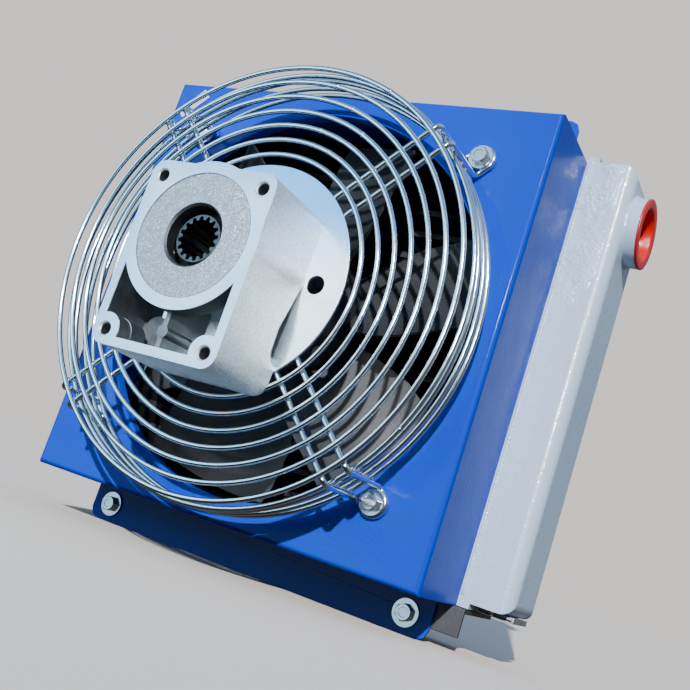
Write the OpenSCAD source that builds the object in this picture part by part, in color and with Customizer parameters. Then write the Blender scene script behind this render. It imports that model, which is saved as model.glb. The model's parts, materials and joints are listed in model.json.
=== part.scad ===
// Air-blast hydraulic oil cooler.
// Plate-fin core between two welded end tanks, sheet-steel fan shroud,
// domed wire guard, and a cast bracket that takes a group 2 hydraulic motor.
// Frame: X to the right, Y away from the motor side, Z up.
// Origin: centre of the motor pilot bore on the motor flange face.

/* [Shroud] */
// Width of the square shroud face
face_w = 300; // [296:1:306]
// Depth of the shroud box, front face to core
shroud_d = 66; // [60:1:72]
// Sheet thickness of the shroud
sheet_t = 2; // [1.5:0.5:2.5]
// Radius of the air opening in the face
opening_r = 133.5; // [133:0.5:135]
// Depth of the turned-in lip of the opening
lip_d = 8; // [6:1:10]
// Height of the bolting flanges above and below the box
flange_h = 26.5; // [24:0.5:30]
// Width of the bolting flanges
flange_w = 280; // [270:1:290]
// Bolt spacing across each bolting flange
flange_bolt_x = 245.5; // [240:0.5:252]

/* [Guard] */
// Radius of the guard's side rings, wire centre
guard_r = 142.8; // [142.8:0.1:143.1]
// Ring wire radius
ring_wire_r = 1.6; // [1.4:0.1:1.7]
// Spoke wire radius
spoke_wire_r = 1.9; // [1.8:0.1:2.0]
// Half the distance between the two legs of a spoke hairpin
spoke_half = 7.5; // [7:0.5:8]
// Radius of the centre disc
disc_r = 71.5; // [70:0.5:73]
// Distance of each guard bolt from the axis, along X and along Z
guard_bolt = 108.25; // [108:0.25:109]

/* [Motor bracket] */
// Pilot bore radius of the motor flange
pilot_r = 18.25; // [18.25:0.25:18.5]
// Motor bolt spacing across
bolt_x = 71.5; // [71:0.5:72]
// Motor bolt spacing up and down
bolt_z = 96.2; // [96:0.1:97]
// Upper motor bolts above the axis
bolt_up = 32.5; // [32:0.5:33]
// Length of the bracket, motor face to guard disc
bracket_l = 56; // [56:1:56]
// Tapping drill radius of the motor bolt holes
bolt_r = 3.4; // [3.3:0.1:3.5]

/* [Core and tanks] */
// Depth of the core
core_d = 50; // [48:1:52]
// Number of oil passages
n_tube = 17; // [16:1:17]
// Height of one oil passage
tube_h = 4.2; // [4:0.1:4.4]
// Fin wave length
fin_pitch = 12.5; // [10:0.5:15]
// Depth of the end tanks
tank_d = 54; // [54:1:56]
// Width of the end tanks outside their header plates
tank_w = 26; // [24:1:28]
// Depth of the end tanks below the axis
tank_h2 = 146; // [145:0.5:146]
// Height of the end tanks above the axis
tank_top = 151.3; // [150:0.1:152]
// Radius of the tank edges
tank_r = 8; // [6:1:10]
// Height of the port above the axis
port_z = 116; // [105:1:118]
// Minor radius of the port thread
port_r = 19.45; // [19.4:0.05:19.5]

/* [Fan] */
// Tip radius of the fan
fan_r = 129; // [125:0.5:129.5]
// Blade chord
chord = 84; // [76:1:86]
// Blade angle
stagger = 28; // [24:1:30]

/* [Hidden] */
$fn = 64;

face_y = 106;
back_y = face_y + shroud_d;
flange_y = back_y - 4;
hw = face_w/2;
core_y = back_y + (tank_d - core_d)/2;
side_t = 1.8;
fin_h = (face_w - 2*side_t - n_tube*tube_h)/(n_tube + 1);
head_t = 8;
port_y = back_y + tank_d/2;
tank_x = hw + head_t + tank_w;
boss_l = 8.5;
plug_x = tank_x + boss_l;
ang_t = 3;
bolt_low = bolt_z - bolt_up;
disc_t = 2;
spoke_y = bracket_l + disc_t + spoke_wire_r;
ring_y = spoke_y - spoke_wire_r - ring_wire_r + 0.1;
leg_u = guard_r + spoke_wire_r + ring_wire_r - 0.3;
bend_r = 4;
foot_y = face_y - spoke_wire_r;
bolt_u = guard_bolt*sqrt(2);
flange_z = hw + flange_h/2 + 0.45;
foot_x0 = hw + head_t + 0.1;
foot_x1 = tank_x - 0.5;
fan_y = 130;
hub_r = 45;

// ---- helpers -------------------------------------------------------
// profile drawn in X and Z, extruded from y = a to y = b
module yext(a, b) translate([0, b, 0]) rotate([90, 0, 0]) linear_extrude(b - a) children();
// cylinder along Y from y = a to y = b
module ycyl(a, b, r, x = 0, z = 0) translate([x, b, z]) rotate([90, 0, 0]) cylinder(h = b - a, r = r);
// cylinder along X from x = a to x = b
module xcyl(a, b, r, y = 0, z = 0) translate([a, y, z]) rotate([0, 90, 0]) cylinder(h = b - a, r = r);
module box(x0, x1, y0, y1, z0, z1) translate([x0, y0, z0]) cube([x1 - x0, y1 - y0, z1 - z0]);
module rrect(x0, x1, y0, y1, r) {
  translate([x0 + r, y0]) square([x1 - x0 - 2*r, y1 - y0]);
  translate([x0, y0 + r]) square([x1 - x0, y1 - y0 - 2*r]);
  for (x = [x0 + r, x1 - r], y = [y0 + r, y1 - r]) translate([x, y]) circle(r);
}
// rounded on the two corners at the low-y side only
module front_round(x0, x1, y0, y1, r) {
  translate([x0 + r, y0]) square([x1 - x0 - 2*r, y1 - y0]);
  translate([x0, y0 + r]) square([x1 - x0, y1 - y0 - r]);
  for (x = [x0 + r, x1 - r]) translate([x, y0 + r]) circle(r);
}
// rounded on the two corners at the high-x side only
module outer_round(x0, x1, y0, y1, r) {
  translate([x0, y0]) square([x1 - x0 - r, y1 - y0]);
  translate([x0, y0 + r]) square([x1 - x0, y1 - y0 - 2*r]);
  for (y = [y0 + r, y1 - r]) translate([x1 - r, y]) circle(r);
}
module ring_y(r, w, y) translate([0, y, 0]) rotate([90, 0, 0])
  rotate_extrude() translate([r, 0]) circle(w, $fn = 24);
// hexagon prism along Y
module yhex(a, b, af, x = 0, z = 0) translate([x, b, z]) rotate([90, 0, 0])
  rotate([0, 0, 15]) cylinder(h = b - a, r = af/2/cos(30), $fn = 6);
// angle and distance of each guard bolt; the upper right one sits a little higher
guard_spots = [[-46.3, bolt_u + 2.7], [45, bolt_u], [135, bolt_u], [-135, bolt_u]];
module guard_bolt_places() for (g = guard_spots)
  rotate([0, g[0], 0]) translate([g[1], 0, 0]) rotate([0, -g[0], 0]) children();
module shroud_bolt_places() for (x = [-1, 1], z = [-1, 1])
  translate([x*flange_bolt_x/2, 0, z*flange_z]) children();

// ---- shroud --------------------------------------------------------
module shroud_body(d, y0, y1, r) intersection() {
  translate([0, 0, -hw + d]) linear_extrude(face_w - 2*d) front_round(-hw + d, hw - d, y0, y1, r);
  translate([-hw + d, 0, 0]) rotate([90, 0, 90]) linear_extrude(face_w - 2*d)
    translate([0, 0]) side_round(y0, y1, -hw + d, hw - d, r);
}
module side_round(y0, y1, z0, z1, r) {
  translate([y0 + r, z0]) square([y1 - y0 - r, z1 - z0]);
  translate([y0, z0 + r]) square([y1 - y0, z1 - z0 - 2*r]);
  for (z = [z0 + r, z1 - r]) translate([y0 + r, z]) circle(r);
}
module shroud_flange(s) yext(flange_y - sheet_t, flange_y) difference() {
  polygon([[-flange_w/2, s*(hw - sheet_t)], [flange_w/2, s*(hw - sheet_t)],
    [flange_w/2, s*(hw + flange_h - 7)], [flange_w/2 - 2, s*(hw + flange_h - 2)], [flange_w/2 - 7, s*(hw + flange_h)],
    [-flange_w/2 + 7, s*(hw + flange_h)], [-flange_w/2 + 2, s*(hw + flange_h - 2)], [-flange_w/2, s*(hw + flange_h - 7)]]);
  for (x = [-1, 1]) translate([x*flange_bolt_x/2, s*flange_z]) circle(3.4);
}
module shroud() color([0.08, 0.36, 0.80]) union() {
  difference() {
    shroud_body(0, face_y, back_y, 3.5);
    shroud_body(sheet_t, face_y + sheet_t, back_y + 1, 1.5);
    ycyl(face_y - 1, face_y + 4, opening_r);
    guard_bolt_places() ycyl(face_y - 1, face_y + 4, 3.4);
  }
  difference() {
    ycyl(face_y + 1, face_y + lip_d, opening_r + sheet_t);
    ycyl(face_y, face_y + lip_d + 1, opening_r);
  }
  shroud_flange(1);
  shroud_flange(-1);
}

// ---- core ----------------------------------------------------------
function tube_z(i) = -hw + side_t + fin_h + i*(fin_h + tube_h);
function fin_z(i) = -hw + side_t + i*(fin_h + tube_h);
module core_tubes() color([0.10, 0.10, 0.11]) for (i = [0:n_tube - 1]) difference() {
  box(-hw, hw, core_y, core_y + core_d, tube_z(i), tube_z(i) + tube_h);
  box(-hw - 1, hw + 1, core_y + 4, core_y + core_d - 4, tube_z(i) + 1, tube_z(i) + tube_h - 1);
}
// one fin strip: a wave of thin sheet, drawn in X and Z
n_wave = floor((face_w - 2)/fin_pitch);
module fin_wave(h) {
  t = 0.5;
  x0 = -n_wave*fin_pitch/2;
  up = [for (i = [0:2*n_wave]) [x0 + i*fin_pitch/2, i % 2 == 0 ? 0 : h - t]];
  dn = [for (i = [2*n_wave:-1:0]) [x0 + i*fin_pitch/2, (i % 2 == 0 ? 0 : h - t) + t]];
  polygon(concat(up, dn));
}
module core_fins() color([0.13, 0.13, 0.14]) for (i = [0:n_tube])
  translate([0, 0, fin_z(i)]) yext(core_y + 0.5, core_y + core_d - 0.5) fin_wave(fin_h);
module core_side_plates() color([0.12, 0.12, 0.13]) for (s = [-1, 1])
  box(-hw, hw, core_y, core_y + core_d, s > 0 ? hw - side_t : -hw, s > 0 ? hw : -hw + side_t);

// ---- headers, tanks, ports -----------------------------------------
module header_plates() color([0.74, 0.79, 0.84]) for (s = [-1, 1]) difference() {
  box(s > 0 ? hw : -hw - head_t, s > 0 ? hw + head_t : -hw, back_y, back_y + tank_d, -hw + 0.5, hw + 4.5);
  for (i = [0:n_tube - 1]) box(s*(hw + head_t/2) - head_t, s*(hw + head_t/2) + head_t,
    core_y + 4, core_y + core_d - 4, tube_z(i) + 1, tube_z(i) + tube_h - 1);
}
module tank() {
  x0 = hw + head_t;
  difference() {
    intersection() {
      translate([0, 0, -tank_h2]) linear_extrude(tank_h2 + tank_top)
        outer_round(x0, tank_x, back_y, back_y + tank_d, tank_r);
      yext(back_y - 1, back_y + tank_d + 1) outer_round(x0, tank_x, -tank_h2, tank_top, tank_r);
    }
    box(x0 - 1, tank_x - 5, back_y + 5, back_y + tank_d - 5, -tank_h2 + 5, tank_top - 5);
    xcyl(tank_x - 8, tank_x + 1, port_r, port_y, port_z);
  }
}
module tank_right() color([0.74, 0.79, 0.84]) tank();
module tank_left() color([0.74, 0.79, 0.84]) mirror([1, 0, 0]) tank();
// small weld beads along the edge of each header plate, next to the shroud
module seam() {
  x0 = hw + 2.2;
  difference() {
    translate([x0, back_y, -tank_h2 + 3]) cylinder(h = tank_h2 + tank_top - 6, r = 1.7);
    box(x0 - 10, x0 + 10, back_y, back_y + 20, -hw, hw + 5);
  }
  difference() {
    translate([x0, back_y + tank_d, -tank_h2 + 3]) cylinder(h = tank_h2 + tank_top - 6, r = 1.7);
    box(x0 - 10, x0 + 10, back_y + tank_d - 20, back_y + tank_d, -hw, hw + 5);
  }
}
module tank_welds() color([0.76, 0.80, 0.85]) { seam(); mirror([1, 0, 0]) seam(); }
module port_boss() {
  difference() {
    xcyl(tank_x, plug_x, 23.5, port_y, port_z);
    xcyl(tank_x - 1, plug_x + 1, port_r, port_y, port_z);
    translate([plug_x - 1.2, port_y, port_z]) rotate([0, 90, 0]) cylinder(h = 1.3, r1 = port_r, r2 = port_r + 1.3);
  }
}
module port_boss_right() color([0.76, 0.80, 0.85]) port_boss();
module port_boss_left() color([0.76, 0.80, 0.85]) mirror([1, 0, 0]) port_boss();
module port_plug() difference() {
  union() {
    xcyl(plug_x + 0.05, plug_x + 1.7, 23.7, port_y, port_z);
    xcyl(plug_x - 12, plug_x + 1, port_r - 0.35, port_y, port_z);
  }
  translate([plug_x - 10.3, port_y, port_z]) rotate([0, 90, 0]) cylinder(h = 12.3, r1 = 14.6, r2 = 16.5);
}
module port_plug_right() color([0.85, 0.13, 0.10]) port_plug();
module port_plug_left() color([0.85, 0.13, 0.10]) mirror([1, 0, 0]) port_plug();

// ---- core brackets and tank feet -----------------------------------
module core_bracket(s, x0, x1) difference() {
  union() {
    box(x0, x1, flange_y, flange_y + ang_t, s > 0 ? hw : -hw - 17.7, s > 0 ? hw + 17.7 : -hw);
    box(x0, x1, flange_y, back_y + tank_d - 2, s > 0 ? hw : -hw - ang_t, s > 0 ? hw + ang_t : -hw);
  }
  for (x = [-1, 1]) ycyl(flange_y - 1, flange_y + ang_t + 1, 3.4, x*flange_bolt_x/2, s*flange_z);
}
module core_bracket_lower() color([0.20, 0.20, 0.21]) core_bracket(-1, 2 - flange_w/2, 157.5);
module core_bracket_upper() color([0.20, 0.20, 0.21]) core_bracket(1, 4 - flange_w/2, flange_w/2 - 4);
module tank_feet() color([0.60, 0.60, 0.60]) for (s = [-1, 1]) difference() {
  box(s > 0 ? foot_x0 : -foot_x1, s > 0 ? foot_x1 : -foot_x0, back_y + 12, back_y + 42, -tank_h2 - 3.5, -tank_h2);
  for (x = [foot_x0 + 6.2, foot_x0 + 18]) box(s*x - 3.9 - (x > foot_x0 + 10 ? 1.8 : 0), s*x + 3.9 + (x > foot_x0 + 10 ? 1.8 : 0),
    back_y + 10, back_y + 44, -tank_h2 - 2.7, -tank_h2 - 0.7);
}

// ---- fasteners of the shroud flanges -------------------------------
module shroud_bolts() color([0.80, 0.82, 0.84]) shroud_bolt_places() {
  yhex(flange_y - sheet_t - 1.6 - 4, flange_y - sheet_t - 1.6, 10);
  ycyl(flange_y - sheet_t - 2, flange_y + ang_t + 8, 3);
}
module shroud_washers() color([0.78, 0.80, 0.82]) shroud_bolt_places() difference() {
  ycyl(flange_y - sheet_t - 1.6, flange_y - sheet_t, 9);
  ycyl(flange_y - sheet_t - 3, flange_y + 1, 3.2);
}
module shroud_nuts() color([0.78, 0.80, 0.82]) shroud_bolt_places() difference() {
  yhex(flange_y + ang_t, flange_y + ang_t + 5, 10);
  ycyl(flange_y, flange_y + 15, 3.02);
}

// ---- guard ---------------------------------------------------------
bb_up = 34; bb_lo = 52; bb_xu = 33; bb_xl = 29;
module bracket_bolt_places() {
  for (s = [-1, 1]) { translate([s*bb_xu, 0, bb_up]) children(); translate([s*bb_xl, 0, -bb_lo]) children(); }
}
module guard_disc() color([0.80, 0.86, 0.92]) yext(bracket_l, bracket_l + disc_t) difference() {
  circle(disc_r);
  circle(29.5);
  for (s = [-1, 1]) { translate([s*52.7, 0]) circle(5.75);
    translate([s*bb_xu, bb_up]) circle(4.5); translate([s*bb_xl, -bb_lo]) circle(4.5); }
}
module leg(v, bu) {
  w = spoke_wire_r;
  translate([62, spoke_y, v]) rotate([0, 90, 0]) cylinder(h = leg_u - bend_r - 62, r = w, $fn = 24);
  translate([leg_u - bend_r, spoke_y + bend_r, v]) rotate([0, 0, -90]) rotate_extrude(angle = 90) translate([bend_r, 0]) circle(w, $fn = 24);
  translate([leg_u, spoke_y + bend_r, v]) rotate([-90, 0, 0]) cylinder(h = foot_y - spoke_y - 2*bend_r, r = w, $fn = 24);
  translate([leg_u + bend_r, foot_y - bend_r, v]) rotate([0, 0, 90]) rotate_extrude(angle = 90) translate([bend_r, 0]) circle(w, $fn = 24);
  translate([leg_u + bend_r, foot_y, v]) rotate([0, 90, 0]) cylinder(h = bu - leg_u - bend_r, r = w, $fn = 24);
}
module hairpin(bu) {
  leg(spoke_half, bu);
  leg(-spoke_half, bu);
  translate([bu, foot_y, 0]) rotate([90, 0, 0]) rotate([0, 0, -90]) rotate_extrude(angle = 180) translate([spoke_half, 0]) circle(spoke_wire_r, $fn = 24);
}
module guard_spokes() color([0.80, 0.83, 0.85]) for (g = guard_spots) rotate([0, g[0], 0]) hairpin(g[1]);
module guard_face_rings() color([0.82, 0.85, 0.87]) {
  for (r = [79, 89.3, 99.5, 109.6, 119.8, 130.1, 140.4]) ring_y(r, ring_wire_r, ring_y);
}
module guard_rim_rings() color([0.82, 0.85, 0.87])
  for (y = [69.5, 75.5, 85.5, 94]) ring_y(guard_r, ring_wire_r, y);
module guard_bolts() color([0.80, 0.82, 0.84]) guard_bolt_places() {
  yhex(face_y - 2*spoke_wire_r - 1.6 - 4, face_y - 2*spoke_wire_r - 1.6, 10);
  ycyl(face_y - 2*spoke_wire_r - 1.8, face_y + 10, 3);
}
module guard_washers() color([0.78, 0.80, 0.82]) guard_bolt_places() difference() {
  ycyl(face_y - 2*spoke_wire_r - 1.6, face_y - 2*spoke_wire_r, 8);
  ycyl(face_y - 2*spoke_wire_r - 3, face_y, 3.2);
}
module guard_nuts() color([0.78, 0.80, 0.82]) guard_bolt_places() difference() {
  yhex(face_y + sheet_t, face_y + sheet_t + 5, 10);
  ycyl(face_y, face_y + 15, 3.02);
}
// blank sticker on the shroud face, outside the upper left guard bolt
module blank_label() color([0.88, 0.86, 0.90]) translate([-132.2, face_y, 133.4]) rotate([90, 0, 0])
  rotate(45) linear_extrude(0.4) rrect(-13, 13, -4.2, 4.2, 0.8);

// ---- motor bracket -------------------------------------------------
ring_r = 45; bx = 44.5; bz0 = -72.5; bz1 = 42.2; lug_r = 10;
module bracket_outline() { rrect(-bx, bx, bz0, bz1, 9); circle(ring_r); }
module inner_outline() rrect(-bx + 5.5, bx - 5.5, bz0 + 5, bz1 - 5, 4);
// shallow notch in the rear edge of each side wall, clear of the guard disc's holes
module side_notch() translate([-bx - 2, 0, 0]) rotate([90, 0, 90]) linear_extrude(2*bx + 4) {
  for (z = [-44, -33]) translate([bracket_l, z]) circle(9);
  translate([bracket_l - 9, -44]) square([18, 11]);
  polygon([[bracket_l - 8.63, -30.45], [bracket_l + 0.3, -0.2], [bracket_l + 9, -30.45]]);
}
module motor_bracket() color([0.76, 0.78, 0.80]) difference() {
  union() {
    // face plate with two open windows under the ring
    yext(0, 12) difference() {
      bracket_outline();
      difference() {
        translate([-bx + 5.5, bz0 + 5.5]) square([2*bx - 11, 50]);
        circle(ring_r);
        for (s = [-1, 1]) translate([s*bolt_x/2, -bolt_low]) circle(lug_r);
      }
    }
    // side walls behind the plate
    yext(11.9, bracket_l) difference() { bracket_outline(); inner_outline(); }
    // bearing housing
    ycyl(11, bracket_l, 34.5);
    // lugs behind the motor bolt holes
    for (s = [-1, 1]) { ycyl(11, 24, lug_r - 0.5, s*(bolt_x/2 - 0.7), bolt_up - 0.7); ycyl(11, 24, lug_r - 0.5, s*(bolt_x/2 - 0.7), -bolt_low + 0.7); }
    // pads that take the screws from the guard disc
    bracket_bolt_places() ycyl(34, bracket_l, 8.5);
    // webs that join the lower pads to the side walls and the floor
    for (s = [-1, 1]) { box(s > 0 ? bb_xl : -40, s > 0 ? 40 : -bb_xl, 34, 47, -bb_lo - 3, -bb_lo + 3); box(s*bb_xl - 3, s*bb_xl + 3, 34, bracket_l, -69, -bb_lo); }
    // centre rib with its round ejector pad
    box(-1.6, 1.6, 5.5, 40, bz0 + 4, -34);
    ycyl(5, 38, 3.6, 0, -56.7);
    // ribs from the housing to the walls
    for (s = [-1, 1]) box(s > 0 ? 33 : -40, s > 0 ? 40 : -33, 11, 50, -2, 2);
  }
  ycyl(-1, 0.5, 37.6);
  translate([0, 1.9, 0]) rotate([90, 0, 0]) cylinder(h = 1.45, r1 = pilot_r, r2 = pilot_r + 1.45);
  ycyl(-1, 13, pilot_r);
  ycyl(5.5, 13, pilot_r + 1);
  ycyl(10.2, 15.2, 23.5);
  ycyl(15, bracket_l + 1, 27.5);
  ycyl(49.1, 51.0, 29);
  for (s = [-1, 1]) { ycyl(-1, 20, bolt_r, s*bolt_x/2, bolt_up); ycyl(-1, 20, bolt_r, s*bolt_x/2, -bolt_low);
    for (z = [bolt_up, -bolt_low]) translate([s*bolt_x/2, 1.15, z]) rotate([90, 0, 0]) cylinder(h = 1.2, r1 = bolt_r, r2 = bolt_r + 1.2); }
  bracket_bolt_places() ycyl(38, bracket_l + 1, 4.02);
  difference() { side_notch(); ycyl(0, bracket_l + 12, 36.5); for (s = [-1, 1]) ycyl(0, bracket_l + 12, 11, s*bb_xl, -bb_lo); }
  // relief for the innermost guard ring behind the lower corners
  ring_y(79, ring_wire_r + 0.4, ring_y);
}
module bracket_bolts() color([0.80, 0.82, 0.84]) bracket_bolt_places() {
  yhex(bracket_l + disc_t + 1.6, bracket_l + disc_t + 6.9, 13);
  ycyl(42, bracket_l + disc_t + 1.8, 4);
}
module bracket_washers() color([0.78, 0.80, 0.82]) bracket_bolt_places() difference() {
  ycyl(bracket_l + disc_t, bracket_l + disc_t + 1.6, 8);
  ycyl(bracket_l, bracket_l + 8, 4.2);
}

// ---- bearings and drive sleeve -------------------------------------
ball_p = 21.25; ball_r = 3.5; n_ball = 11;
bear_y = [15.2, 36];
module bearing_outer_rings() color([0.72, 0.73, 0.75]) for (y = bear_y) difference() {
  ycyl(y, y + 13, 27.48);
  ycyl(y - 1, y + 14, 23.6);
  ring_y(ball_p, ball_r + 0.1, y + 6.5);
}
module bearing_inner_rings() color([0.72, 0.73, 0.75]) for (y = bear_y) difference() {
  ycyl(y, y + 13, 18.9);
  ycyl(y - 1, y + 14, 15.01);
  ring_y(ball_p, ball_r + 0.1, y + 6.5);
}
module bearing_balls() color([0.85, 0.86, 0.88]) for (y = bear_y, i = [0:n_ball - 1])
  rotate([0, i*360/n_ball, 0]) translate([ball_p, y + 6.5, 0]) sphere(ball_r, $fn = 32);
module bearing_spacer() color([0.60, 0.61, 0.63]) difference() {
  ycyl(bear_y[0] + 13, bear_y[1], 27.4);
  ycyl(bear_y[0] + 12, bear_y[1] + 1, 24.5);
}
module bearing_circlip() color([0.25, 0.25, 0.27]) yext(49.2, 50.9) difference() {
  circle(28.9);
  circle(24.6);
  translate([-3, -31]) square([6, 12]);
}
module sleeve_circlip() color([0.25, 0.25, 0.27]) yext(13.4, 14.9) difference() {
  circle(18.0);
  circle(14.25);
  translate([-3, -20]) square([6, 10]);
}
// 16 straight-sided spline teeth inside the sleeve
sp_n = 16; sp_root = 13.6; sp_tip = 11.3; sleeve_y = 6;
module spline_bore() difference() {
  circle(sp_root);
  for (i = [0:sp_n - 1]) rotate(i*360/sp_n) polygon([[-2.2, sp_root + 1], [-0.7, sp_tip], [0.7, sp_tip], [2.2, sp_root + 1]]);
}
module drive_sleeve() color([0.45, 0.45, 0.47]) difference() {
  union() {
    translate([0, sleeve_y + 0.7, 0]) rotate([90, 0, 0]) cylinder(h = 0.7, r1 = 15, r2 = 14.5);
    ycyl(sleeve_y + 0.6, 49.1, 15);
    ycyl(49, 52.5, 18.5);
    ycyl(52.4, 149, 12);
  }
  yext(sleeve_y - 1, 38) spline_bore();
  difference() { ycyl(13.3, 15.0, 16); ycyl(13, 15.2, 14.2); }
  box(-4.05, 4.05, 114, 146, 8, 13);
  ycyl(132, 150, 4);
}
module fan_key() color([0.60, 0.60, 0.62]) box(-4, 4, 114.5, 145.5, 8.05, 15);

// ---- fan -----------------------------------------------------------
module fan_hub() color([0.10, 0.10, 0.11]) difference() {
  union() {
    ycyl(112, 149.5, 22);
    difference() { ycyl(114, 146, hub_r); ycyl(117, 147, hub_r - 4); }
    for (i = [0:5]) rotate([0, i*60 + 30, 0]) box(20, hub_r - 3, 116, 142, -1.5, 1.5);
  }
  ycyl(111, 151, 12.03);
  box(-4.05, 4.05, 111, 151, 10, 15.1);
}
// arc-shaped section, tangential along x, axial along y
function arc_y(t) = 9*(1 - t*t);
function half_t(t) = 0.9 + 1.3*(1 - t*t);
n_sec = 10;
module blade_section() rotate(-stagger) translate([0, -5]) polygon(concat(
  [for (i = [-n_sec:n_sec]) [chord/2*i/n_sec, arc_y(i/n_sec) + half_t(i/n_sec)]],
  [for (i = [n_sec:-1:-n_sec]) [chord/2*i/n_sec, arc_y(i/n_sec) - half_t(i/n_sec)]]));
module blade() intersection() {
  translate([0, fan_y, 38]) linear_extrude(fan_r - 36) blade_section();
  difference() { ycyl(fan_y - 40, fan_y + 40, fan_r); ycyl(fan_y - 41, fan_y + 41, hub_r - 1); }
  yext(fan_y - 40, fan_y + 40) polygon([[-20, 38], [20, 38], [26, 50], [38, 84], [40, 116], [36, fan_r + 2], [-36, fan_r + 2], [-40, 116], [-38, 84], [-26, 50]]);
}
module fan_blades() color([0.12, 0.12, 0.13]) for (i = [0:5]) rotate([0, i*60 + 12, 0]) blade();
module fan_washer() color([0.78, 0.80, 0.82]) difference() { ycyl(149.5, 151.5, 16); ycyl(148, 153, 4.2); }
module fan_bolt() color([0.80, 0.82, 0.84]) { yhex(151.5, 156.8, 13); ycyl(134, 151.6, 3.98); }

shroud();
core_tubes();
core_fins();
core_side_plates();
header_plates();
tank_left();
tank_right();
tank_welds();
port_boss_left();
port_boss_right();
port_plug_left();
port_plug_right();
core_bracket_lower();
core_bracket_upper();
tank_feet();
shroud_bolts();
shroud_washers();
shroud_nuts();
guard_disc();
guard_spokes();
guard_face_rings();
guard_rim_rings();
guard_bolts();
guard_washers();
guard_nuts();
blank_label();
motor_bracket();
bracket_bolts();
bracket_washers();
bearing_outer_rings();
bearing_balls();
bearing_spacer();
bearing_circlip();
bearing_inner_rings();
sleeve_circlip();
drive_sleeve();
fan_key();
fan_hub();
fan_blades();
fan_washer();
fan_bolt();
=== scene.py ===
import json
import math
import random

import bpy
import bmesh
import numpy as np
from mathutils import Matrix, Vector, noise

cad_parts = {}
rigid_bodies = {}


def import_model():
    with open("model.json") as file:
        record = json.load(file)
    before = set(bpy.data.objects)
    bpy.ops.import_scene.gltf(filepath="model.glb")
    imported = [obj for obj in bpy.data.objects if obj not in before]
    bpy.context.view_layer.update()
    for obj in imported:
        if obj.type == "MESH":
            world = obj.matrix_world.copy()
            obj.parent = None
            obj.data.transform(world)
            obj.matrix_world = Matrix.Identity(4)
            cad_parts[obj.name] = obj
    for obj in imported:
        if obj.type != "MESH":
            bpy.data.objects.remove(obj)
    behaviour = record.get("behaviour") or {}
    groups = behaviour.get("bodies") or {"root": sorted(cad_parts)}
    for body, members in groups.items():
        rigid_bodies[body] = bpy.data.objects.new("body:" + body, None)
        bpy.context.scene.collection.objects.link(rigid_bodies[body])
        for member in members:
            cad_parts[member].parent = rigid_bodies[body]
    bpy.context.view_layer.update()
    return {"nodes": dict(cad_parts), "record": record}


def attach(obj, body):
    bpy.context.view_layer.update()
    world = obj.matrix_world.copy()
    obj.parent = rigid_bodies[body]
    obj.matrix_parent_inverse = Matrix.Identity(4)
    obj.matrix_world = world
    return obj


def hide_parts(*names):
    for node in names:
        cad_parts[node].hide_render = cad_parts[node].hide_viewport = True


for _o in list(bpy.data.objects):
    bpy.data.objects.remove(_o, do_unlink=True)

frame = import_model()
N = frame["nodes"]
COL = bpy.context.scene.collection
MM = 0.001
rng = random.Random(7)

# --------------------------------------------------------------------------
# dimensions that the detailed pieces share with the CAD frame, in mm
FACE_Y, BACK_Y, HW = 106.0, 172.0, 150.0
TANK_D, HEAD_X, TANK_X, TANK_H2, TANK_TOP = 54.0, 158.0, 184.0, 146.0, 151.3
PORT_Y, PORT_Z, PLUG_X = 199.0, 116.0, 192.5
SPOKE_Y, RING_Y, LEG_U, GUARD_R = 59.9, 56.5, 146.0, 142.8
FLANGE_X, FLANGE_Z, FLANGE_Y = 122.75, 163.7, 168.0
BOLT_U = 108.25 * math.sqrt(2)
# angle and radius of each hairpin's bolt: upper right, lower right, lower left, upper left
SPOTS = [(46.3, BOLT_U + 2.7), (-45.0, BOLT_U), (-135.0, BOLT_U), (135.0, BOLT_U)]
GUARD_XZ = [(r * math.cos(math.radians(a)), r * math.sin(math.radians(a))) for a, r in SPOTS]


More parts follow.
